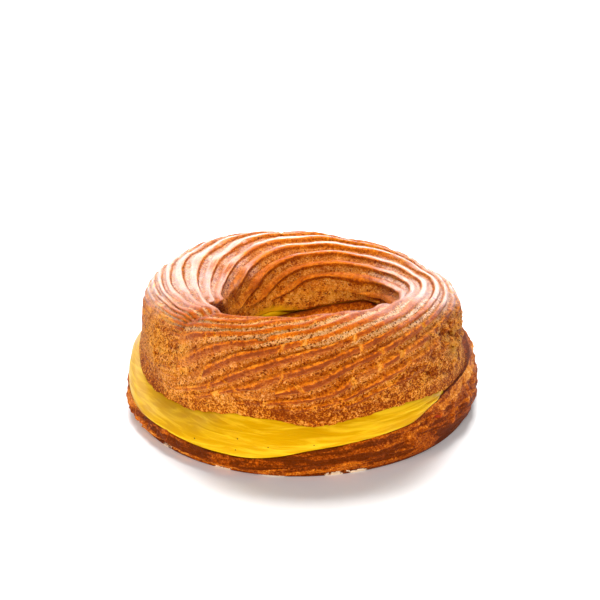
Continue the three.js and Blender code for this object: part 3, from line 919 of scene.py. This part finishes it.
# crumbly relief: strong where the ridges are lost or torn, weak on their tops
def breakCrust(at):
    theta, phi, flat = at.theta, at.phi, at.flat
    openness = 1 - np.clip(at.profile * at.kept, 0, 1)
    at.patchy = 1 - at.strength
    at.torn = np.clip(spots(crown["torn"], theta, phi), 0, 1.4)
    at.loose = np.clip(at.patchy + at.torn, 0, 1) * fadeOut(70, 120, phi)
    at.flake = smoothStep(-0.08, 0.08, cloudNoise(flat, 4.2, 4, 33))
    at.crease = creased(flat, crown["creases"])
    pitDistance, pitOwner = cellNoise(flat, 1.5, 41)
    at.pits = smoothStep(0.42, 0.12, pitDistance) * (pitOwner > 0.35) * openness
    crumbs = cloudNoise(flat, 2.6, 4, 21) * (0.25 + 0.75 * openness)
    wrinkles = at.patchy * (1 - 2 * np.abs(noise(flat, 3.2, 31)))
    at.relief = ((0.10 + 0.30 * at.patchy) * crumbs + 0.14 * wrinkles
                 - (0.16 + 0.3 * at.patchy) * at.pits
                 + 0.45 * np.maximum(at.patchy, at.torn) * (at.flake - 0.5)
                 + at.torn * (0.9 * at.crease + 0.8 * cloudNoise(flat, 2.0, 4, 36)))


# where each finish lies on the crown
def crownMasks(at):
    theta, phi = at.theta, at.phi
    polished = np.maximum(*[bump(theta, *stretch) for stretch in crown["polished"]])
    lower = 38 * polished  # the glaze reaches lower there
    inNotch, outer = at.inNotch, ~at.isUnder
    return {
        "ridges": at.kept,
        "narrow": at.narrow,
        "tiles": fadeOut(45, 75, phi) * smoothStep(0.04, 0.2, at.toEdge),
        "web": at.broken * fadeOut(0.05, 0.11, at.toEdge) * at.strength,
        "low": fadeOut(40, 65, phi),
        "front": fadeOut(50, 85, phi) * smoothStep(0, 0.12, at.toEdge),
        "back": smoothStep(75, 110, phi),
        "top": window(phi, 45, 80, 150, 190),
        "topFront": (window(phi, 38, 60, 105, 125)
                     * fadeOut(55, 80, np.abs(angleBetween(theta, 268)))),
        # the hole's wall: more caramel, and painted paler, partly as light in the shaded hole
        "inside": smoothStep(150, 200, phi) * outer,
        "polished": polished * window(phi, 20, 60, 130, 170),
        "glaze": (window(phi, 45 - lower, 80 - lower, 130, 170) * outer
                  * (1 - 0.85 * bump(theta, 252, 52)) * (1 - inNotch) + 0.8 * at.skin),
        "loose": at.loose,
        "flake": blend(1.0, at.flake, at.loose),
        "lift": at.loose * np.clip(0.7 * at.relief, -0.5, 0.5),
        "baked": spots(crown["pale"], theta, phi),
        "crest": at.torn * (smoothStep(0.35, 0.95, at.crease)
                            - 0.6 * smoothStep(0.2, -0.8, at.crease)),
        # darker pits in the open crust, and painted shadow in the notch under the cut ends of the
        # ridges
        "pits": np.clip(0.6 * at.pits * at.patchy + 0.9 * inNotch * np.exp(
            -(angleBetween(theta, notchMouth(phi)) / 9) ** 2), 0, 1),
        "plain": at.patchy * fadeOut(75, 110, phi),
        # painted shade under the crown's inner lip along the seam, left out where the painted glow
        # lies
        "seam": smoothStep(236, 262, phi) * outer * (1 - bump(theta, 112, 20)),
        # painted yellow glow round the cream's opening in the hole, and a smear of cream
        "creamSmearAndGlow": np.clip(bump(theta, 112, 19) * smoothStep(196, 250, phi) * outer
                           + spots(crown["smears"], theta, phi, 2), 0, 1),
        "speck": spots(crown["specks"], theta, phi, 2),
    }


def buildCrown():
    theta, phi, share, keys, seamKeys = crownPoints()
    size = sizesAt(theta)
    radius, height, outside, above, upShare = crownShell(size, phi)
    at = SimpleNamespace(
        theta=theta, phi=phi, flat=roundRing(radius, theta, height), isUnder=share >= 0,
        count=ridgeCount(theta, phi), along=theta * radians * size["outer"],
        inNotch=notchAt(theta, phi), skin=skinEdgeAt(theta, phi))
    pipeRidges(at)
    breakCrust(at)
    crag = crown["cragHeight"] * lumps(theta, phi, *crown["cragWaves"]) * (
        1 - 0.6 * smoothStep(10, 70, phi))
    pinch = crown["pinch"]
    pinched = bump(theta, pinch["theta"], pinch["width"]) * window(phi, *pinch["across"])
    proud = (at.raised + crag - pinch["depth"] * pinched + at.relief
             - spots(crown["sunk"], theta, phi, 2) - crown["notch"]["depth"] * at.inNotch
             - crown["settle"] + crown["skinEdge"]["height"] * at.skin)
    proud = proud * np.maximum(np.where(above, 1, 1 - upShare), crown["leastRelief"])
    cosine, sine = np.cos(phi * radians), np.sin(phi * radians)
    radius = radius + proud * np.where(above, cosine, np.sign(cosine))
    height = height + proud * np.where(above, sine, 0)
    ragged = layered(at.flat, crown["raggedLip"])
    height = height + ragged * np.where(above | ~outside, 0, smoothStep(0.6, 1, upShare))
    bed, roof = pocketAt(size, np.maximum(share, 0))
    radius = np.where(at.isUnder, pocketRadius(size, share), radius)
    height = np.where(at.isUnder, roof, height)
    strips = ringFaces(keys, seamKeys)
    faces = np.concatenate(strips)

    # the map runs along the ridges in mm and counts them across; the last strip closes the lap
    mapping = np.stack([at.along[faces], at.count[faces]], axis=2)
    closing = faces[-len(strips[-1]):]
    lapped = np.where(closing < len(keys[0]), 360.0, 0.0) + theta[closing]
    mapping[-len(closing):, :, 0] = lapped * radians * size["outer"][closing]
    mapping[-len(closing):, :, 1] = ridgeCount(lapped, phi[closing])
    return makePiece("crownCrust", roundRing(radius, theta, height), faces, crownMaterial(),
                     crownMasks(at), mapping.reshape(-1, 2))


base = {
    "footShare": 0.944,
    "widestShare": 0.6,
    "widestLimit": 6.5,
    "rimDrop": 0.7,
    "steepDrop": 0.4,
    "plainRise": 3.5,
    "rimSag": 0.1,
    "holePinch": 1.2,
    "holeFoot": 2.2,
    "cragHeight": 0.42,
    "cragWaves": (9, 2, 4.1),  # waves round, waves up, seed
    # streaks left by the nozzle, as (depth, lumps a mm round the wall, lumps a mm up, seed)
    "streakHeight": 0.28,
    "streaks": [(1.2, 0.1, 0.75, 61), (0.8, 0.2, 1.5, 62), (0.6, 0.35, 3.2, 63)],
    "streakSlope": (1.5, 40),  # they rise a little to the right: height, theta
    # noises are given as (depth, width of a lump, seed)
    "creases": [(1.6, 5, 66), (1.2, 2, 69)],
    "raggedRim": [(0.35, 2.6, 75), (0.2, 1.1, 76)],
    "raggedBand": [(0.1, 8, 67), (0.05, 2.5, 68)],
    "raggedFlour": [(0.5, 2.2, 82), (0.5, 0.9, 83)],
    "rawRight": (345, 50),  # theta and width of the open crust
    "rawLeft": (206, 30),
    "lowBand": (0.46, 0.40),  # the porous band lies below these shares of the wall's height
    "flour": [(218, 3), (242, 4), (261, 5), (286, 10), (20, 6), (75, 12), (150, 8)],
    # red specks as (theta, height, half width, half height, amount)
    "specks": [(321, 9.2, 1.0, 0.5, 0.6), (322.6, 9.0, 1.2, 0.5, 0.5)],
    # how much each feature adds to the crust's tone
    "tone": {
        "start": 0.10,
        "grit": 0.22,
        "mottle": 0.05,
        "speckle": 0.24,
        "streak": 0.28,
        "raw": 0.12,
        "pores": -0.6,
        # painted light on the base's upper right, where the crown shades it
        "right": 0.40,
        "lower": 0.28,
        "crest": 0.3,
        "left": 0.22,
        # the hole's wall is much paler, partly painted light in the shaded hole
        "inside": 0.60,
        # painted shade along the seam, at the top of the hole's wall
        "seam": -0.30,
    },
    "darkest": 0.1,
    # how much each feature adds to the share of dry crumb in the colour
    "crumb": {"start": 0.05, "speckle": 0.9, "streak": -0.3, "inside": -0.3},
    "flourColour": (0.80, 0.58, 0.38),
    # colour of the painted yellow glow round the cream's opening in the hole
    "smearAndGlowColour": (0.62, 0.24, 0.003),
    "speck": (0.34, 0.02, 0.01),
    "speckEdge": (0.15, 0.85),
    "specular": 0.06,
}


def baseMaterial():
    material, desk = newMaterial("bakedBase")
    place = millimetres(desk)
    crumb = placeCrumb(desk, place, 0.9, 0.55, 5.0)
    grit = desk.centred(crumb["Grit"])
    features = desk.masks("raw", "right", "lower", "crest", "left", "inside", "seam")
    pores = desk.times(crumb["Pores"], desk.between(0.35, 1.5, features["lower"]))
    features.update(
        grit=grit, pores=pores, streak=desk.centred(desk.mask("streak")),
        speckle=desk.centred(desk.patches(place, 2.4, 3, 0.7, 0.36, 0.64)),
        mottle=desk.centred(desk.step(crumb["Mottle"], 0.32, 0.68)))
    tone = desk.maths("MAXIMUM", desk.tally(base["tone"], features), base["darkest"])
    colour = bakedColour(desk, tone, desk.tally(base["crumb"], features))
    floury = desk.step(desk.total(desk.mask("flour"), (grit, 0.9)), 0.45, 0.65)
    colour = desk.mixColour(floury, colour, base["flourColour"])
    colour = addSmearAndGlow(desk, addSpecks(desk, colour, base), grit, base)
    height = desk.total(0.0, (crumb["Relief"], 0.35), (crumb["Grit"], 0.35), (pores, -0.35))
    desk.principled({
        "Base Color": colour, "Roughness": desk.total(0.45, (crumb["Relief"], 0.3)),
        "Normal": desk.bump(height, 1.0), "IOR": 1.45, "Specular IOR Level": base["specular"]})
    return material


def buildBase():
    # shares along the outer wall, the rim, the bed of the pocket, the hole's wall and the foot
    wallShares = np.concatenate([[0, 0.015, 0.04], np.linspace(0.07, 1, 56)])
    rimShares = np.array([0.25, 0.6, 1.0])
    bedShares = np.array([0.93, 0.8, 0.65, 0.45, 0.25, 0.1, 0])
    holeShares = np.linspace(0.96, 0.03, 26)
    stretches = [wallShares, rimShares, bedShares, holeShares, [0]]
    part = np.concatenate([np.full(len(shares), index) for index, shares in enumerate(stretches)])
    theta, part, share, faces = evenRows(part, np.concatenate(stretches))
    onOuter, onRim, onBed, onHole, onFoot = [part == index for index in range(len(stretches))]
    size = sizesAt(theta)
    wallHeight = share * size["rim"]
    above = wallHeight > size["widest"]
    away = np.where(above, (wallHeight - size["widest"]) / (size["rim"] - size["widest"]),
                    (size["widest"] - wallHeight) / size["widest"])
    inset = np.where(above, size["lean"], size["wide"] * (1 - base["footShare"]))
    pinched = np.interp(share, [0, 0.15, 0.45, 0.75, 1], [
        -base["holeFoot"], 0, base["holePinch"], 0.6 * base["holePinch"], 0])
    bed, roof = pocketAt(size, share)
    radius = np.select([onOuter, onRim, onBed, onHole, onFoot], [
        size["wide"] - inset * away ** 2, blend(size["rimRadius"], size["lipRadius"], share),
        pocketRadius(size, share), size["seamRadius"] - pinched,
        size["seamRadius"] + base["holeFoot"]])
    height = np.select([onOuter, onRim, onBed, onHole, onFoot], [
        wallHeight, size["rim"] - base["rimSag"] * np.sin(np.pi * share), bed,
        share * size["innerRim"], 0 * share])
    flat = roundRing(radius, theta, height)

    rise, riseFrom = base["streakSlope"]
    risen = flat + np.array([0, 0, 1]) * (rise * np.sin((theta - riseFrom) * radians))[:, None]
    lines = sum(depth * noise(risen * np.array([around, around, up]), 1, seed)
                for depth, around, up, seed in base["streaks"])
    onWall = onOuter * smoothStep(0.02, 0.12, share)
    crumbs = cloudNoise(flat, 2.4, 4, 65)
    crease = creased(flat, base["creases"])
    crag = base["cragHeight"] * 0.7 * (lumps(theta, 90 * share, *base["cragWaves"])
                                       + noise(flat, 5, 64))
    raw = np.clip(bump(theta, *base["rawRight"]) * smoothStep(0.2, 0.6, share)
                  + bump(theta, *base["rawLeft"]), 0, 1)
    # the lower part of the wall is recessed and full of pores
    band = share + layered(flat, base["raggedBand"])
    lower = smoothStep(*base["lowBand"], band) * (1 - bump(theta, *base["rawRight"]))
    pitDistance, pitOwner = cellNoise(flat, 1.4, 71)
    pits = smoothStep(0.4, 0.12, pitDistance) * (pitOwner > 0.4)
    proud = (base["streakHeight"] * np.clip(lines, -1, 1) * (1 - 0.7 * raw) + crag - 0.25
             + (0.12 + 0.45 * raw) * crumbs - (0.12 + 0.3 * raw + 0.4 * lower) * pits
             + raw * (0.6 * crease - 0.4) - 0.45 * lower)
    radius = radius + proud * onWall * (1 - 0.6 * smoothStep(0.78, 1, share))
    radius = radius - 0.35 * (crumbs + 0.3) * onHole * window(share, 0, 0.1, 0.9, 1)
    ragged = layered(flat, base["raggedRim"])
    height = height + ragged * (onOuter * smoothStep(0.85, 1, share) + onRim * (1 - share))
    height = height + 0.35 * np.sin(np.pi * share) * onRim * bump(theta, 350, 60)
    flour = spots([(at, 0, wide, 1, 1) for at, wide in base["flour"]], theta, 0, 2)
    floury = smoothStep(0.2, 0.4, 1.2 * flour - 0.6 + layered(flat, base["raggedFlour"]))
    masks = {
        # the hole's wall, painted paler, partly as light in the shaded hole
        "inside": onHole * 1.0,
        # painted light on the base's upper right, over the shade the crown casts there
        "right": bump(theta, 0, 55) * smoothStep(0.3, 0.9, share) * (onOuter | onRim),
        "left": bump(theta, 193, 20) * (onOuter | onRim),
        "lower": lower * onWall,
        "raw": raw * onWall,
        "crest": raw * onWall * (smoothStep(0.35, 0.95, crease)
                                 - 0.6 * smoothStep(0.2, -0.8, crease)),
        "streak": smoothStep(0.2, 0.8, smoothStep(-0.6, 0.8, lines)) * onWall,
        "flour": floury * onOuter * fadeOut(0.05, 0.1, share),
        "speck": spots(base["specks"], theta, height, 2) * onOuter,
        # painted shade at the top of the hole's wall, along the seam under the crown
        "seam": onHole * smoothStep(0.84, 0.98, share),
        # painted yellow glow round the cream's opening in the hole
        "creamSmearAndGlow": onHole * smoothStep(0.75, 1, share) * bump(theta, 112, 17),
    }
    return makePiece("baseCrust", roundRing(radius, theta, height), faces, baseMaterial(), masks)


cream = {
    "bulge": 1.1,
    "inset": 0.25,  # from the base's rim
    "tuck": 0.25,  # from the crown's lip
    "leastEdge": 0.3,
    "innerReach": 0.1,
    "waves": 0.28,
    "ripples": 0.12,
    "creaseDepth": 0.35,
    "creaseShare": 0.62,
    "creaseFrom": (285, 310),
    "custard": (0.44, 0.22, 0.0002),
    # pale streaks in the cream, partly painted sheen
    "custardPaleSheen": (0.58, 0.34, 0.008),
    "custardDeep": (0.44, 0.205, 0.0001),
    "seed": (0.03, 0.012, 0.004),
    "seeds": [(-16.2, 9.4), (-16.7, 6.7), (-8.6, 8.6), (2.7, 9.6), (-27, 7), (20, 10)],  # x, z
    "seedRadius": 0.2,
    "swirlScale": (0.13, 0.13, 1.5),
    "rough": 0.28,
    "specular": 0.05,
}


def creamMaterial():
    material, desk = newMaterial("custardCream")
    place = millimetres(desk)
    stretched = desk.scaled(place, cream["swirlScale"])
    swirl = desk.cloud(stretched, 0.6, 4, 0.6, 0.8)
    fine = desk.cloud(stretched, 2.4, 4, 0.6)
    # paler streaks along the band, partly painted sheen
    colour = desk.mixColour(desk.step(swirl, 0.42, 0.66), cream["custard"], cream["custardPaleSheen"])
    colour = desk.mixColour(desk.fall(swirl, 0.2, 0.38), colour, cream["custardDeep"])
    onFace = desk.scaled(place, (1, 0, 1))
    for x, z in cream["seeds"]:
        away = desk.add("ShaderNodeVectorMath", {0: onFace, 1: (x, 0, z)},
                        operation="DISTANCE").outputs["Value"]
        isSeed = desk.fall(away, 0.5 * cream["seedRadius"], cream["seedRadius"])
        colour = desk.mixColour(isSeed, colour, cream["seed"])
    height = desk.total(0.0, (swirl, 0.5), (fine, 0.16))
    desk.principled({
        "Base Color": colour, "Roughness": desk.total(cream["rough"], (fine, 0.16)),
        "Normal": desk.bump(height, 0.5), "IOR": 1.45, "Specular IOR Level": cream["specular"],
        "Subsurface Weight": 0.35, "Subsurface Scale": 0.002,
        "Subsurface Radius": (1.0, 0.55, 0.1), "Coat Weight": 0.05, "Coat Roughness": 0.1})
    return material


def buildCream():
    inShares = np.array([0.02, 0.1, 0.25, 0.45, 0.65, 0.8, 0.9, 0.96, 1])
    faceShares = np.linspace(0.03, 0.97, 34)
    part = np.repeat([0, 1, 2], [len(inShares), len(faceShares), len(inShares)])
    theta, part, share, faces = evenRows(
        part, np.concatenate([inShares, faceShares, inShares[::-1]]))
    onBed, onFace, onRoof = [part == index for index in range(3)]
    size = sizesAt(theta)
    gap = ring["gap"]

    # the cream stops where the pocket has become too low for it
    mouth = size["lip"] - size["rim"]
    needed = 2 * gap + cream["leastEdge"]
    shutShare = np.ones(len(theta))
    for step in np.linspace(1, 0.6, 41):
        bed, roof = pocketAt(size, step)
        shutShare = np.where(roof - bed < needed, step, shutShare)
    reach = np.where(mouth >= needed, 1, shutShare)
    reach = blend(np.minimum(reach, 0.9), 1, smoothStep(needed, needed + 0.6, mouth))
    innerEdge = cream["innerReach"] * (
        1 - bump(theta, pocket["innerMouthAngle"], pocket["innerMouthWidth"]))
    bedShare = innerEdge + (reach - innerEdge) * share
    bed, roof = pocketAt(size, bedShare)
    outerBed, outerRoof = pocketAt(size, reach)
    topRadius = pocketRadius(size, reach) - cream["tuck"]
    footRadius = blend(topRadius, size["rimRadius"] - cream["inset"], size["open"])
    inRadius = pocketRadius(size, bedShare) - cream["tuck"] * share
    bulge = cream["bulge"] * size["open"] * 4 * share * (1 - share)
    radius = np.where(onFace, blend(footRadius, topRadius, share) + bulge, inRadius)
    height = np.select([onBed, onFace, onRoof], [
        bed + gap, blend(outerBed + gap, outerRoof - gap, share), roof - gap])
    flat = roundRing(radius, theta, height)
    waves = (cream["waves"] * noise(flat * np.array([1, 1, 1.6]), 9, 91)
             + cream["ripples"] * noise(flat, 3.5, 92))
    crease = (cream["creaseDepth"] * np.exp(-((share - cream["creaseShare"]) / 0.07) ** 2)
              * smoothStep(*cream["creaseFrom"], theta % 360))
    radius = radius + (waves - crease) * onFace * np.sin(np.pi * share) ** 0.5 * size["open"]
    return makePiece("custardBand", roundRing(radius, theta, height), faces, creamMaterial(), {})


studio = {
    "floorSize": 12.0,
    "floorColour": (0.9, 0.9, 0.9),
    "skyStrength": 0.18,
    # panels as (name, place, size, watts, mirrored): a mirrored panel shows in reflections
    # only, and the others show in none
    "panels": [
        ("backPanel", (0, 1.3, 0.5), (2.2, 0.8), 38.0, True),
        ("leftPanel", (-1.2, 0.8, 0.5), (1.0, 0.8), 23.0, True),
        ("rightPanel", (1.2, 0.8, 0.5), (1.0, 0.8), 23.0, True),
        ("keyLight", (0, 0.6, 1.1), (0.7, 0.5), 30.0, False),
        ("leftFill", (-1.1, -0.8, 0.25), (0.5, 0.3), 6.0, False),
        ("leftStrip", (-1.1, -0.7, 0.5), (0.04, 0.5), 0.25, True),
        ("rightStrip", (0.9, -0.9, 0.6), (0.04, 0.5), 0.7, True),
        ("frontFill", (0, -1.5, 0.16), (1.4, 0.3), 31.0, False),
        ("holeFill", (0, -0.9, 0.8), (0.5, 0.4), 3.0, False)],
    # a narrow spot on the hole's back wall
    "spot": {"power": 31.0, "angle": 5.2, "blend": 0.5, "softness": 0.02,
             "place": (0, -0.5, 0.55), "target": (0, 0.025, 0.02)},
    "elevation": 26.7,
    "distance": 0.65,
    "target": (0.0, 0.0, 0.018),
    "lens": 150.5,
    "shift": (-0.0033, 0.0607),
}


def buildFloor():
    half = studio["floorSize"] / 2
    mesh = bpy.data.meshes.new("floor")
    mesh.from_pydata([(-half, -half, 0), (half, -half, 0), (half, half, 0), (-half, half, 0)],
                     [], [(0, 1, 2, 3)])
    material, desk = newMaterial("paleFloor")
    faint = desk.cloud(desk.add("ShaderNodeTexCoord").outputs["Object"], 6.0, 3)
    dimmer = tuple(0.985 * part for part in studio["floorColour"])
    desk.principled({"Base Color": desk.mixColour(faint, studio["floorColour"], dimmer),
                     "Roughness": 0.7})
    mesh.materials.append(material)
    floor = bpy.data.objects.new("floor", mesh)
    bpy.context.scene.collection.objects.link(floor)


def placeLight(data, place, target, mirrored):
    light = bpy.data.objects.new(data.name, data)
    light.visible_glossy = mirrored
    light.visible_diffuse = not mirrored
    bpy.context.scene.collection.objects.link(light)
    light.location = place
    toTarget = Vector(target) - light.location
    light.rotation_euler = toTarget.to_track_quat("-Z", "Y").to_euler()


def buildLights():
    world = bpy.data.worlds.new("studio")
    bpy.context.scene.world = world
    world.use_nodes = True
    background = world.node_tree.nodes["Background"]
    background.inputs["Color"].default_value = (1, 1, 1, 1)
    background.inputs["Strength"].default_value = studio["skyStrength"]
    world.cycles_visibility.glossy = False
    for name, place, size, power, mirrored in studio["panels"]:
        data = bpy.data.lights.new(name, "AREA")
        data.shape = "RECTANGLE"
        data.size, data.size_y = size
        data.energy = power
        placeLight(data, place, (0, 0, 0), mirrored)
    spot = studio["spot"]
    data = bpy.data.lights.new("topSpot", "SPOT")
    data.energy = spot["power"]
    data.spot_size = spot["angle"] * radians
    data.spot_blend = spot["blend"]
    data.shadow_soft_size = spot["softness"]
    placeLight(data, spot["place"], spot["target"], False)


def buildCamera(shift):
    scene = bpy.context.scene
    camera = bpy.data.objects.new("camera", bpy.data.cameras.new("camera"))
    scene.collection.objects.link(camera)
    lift = studio["elevation"] * radians
    target = Vector(studio["target"]) + Vector((*shift, 0))
    away = Vector((0, -math.cos(lift), math.sin(lift)))
    camera.location = target + studio["distance"] * away
    camera.rotation_euler = (math.pi / 2 - lift, 0, 0)
    camera.data.lens = studio["lens"]
    camera.data.sensor_width = 36
    camera.data.shift_x, camera.data.shift_y = studio["shift"]
    camera.data.clip_end = 50
    scene.camera = camera
    scene.view_settings.view_transform = "Standard"


print("building the base")
basePiece = buildBase()
print("building the cream")
creamPiece = buildCream()
print("building the crown")
crownPiece = buildCrown()

# the ring is modelled round its own centre, then moved to where the solids are
low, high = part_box("base")
corners = np.array([corner[:] for corner in basePiece.bound_box])
shift = [(low[axis] + high[axis]) / 2 - (corners[:, axis].min() + corners[:, axis].max()) / 2
         for axis in (0, 1)]
for piece, node, slotName in ((basePiece, "base", "base_crust"), (creamPiece, "cream", "custard"),
                              (crownPiece, "crown", "crown_crust")):
    for vertex in piece.data.vertices:
        vertex.co.x += shift[0]
        vertex.co.y += shift[1]
    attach(piece, "root")
    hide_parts(node)

print("building the floor, light and camera")
buildFloor()
buildLights()
buildCamera(shift)
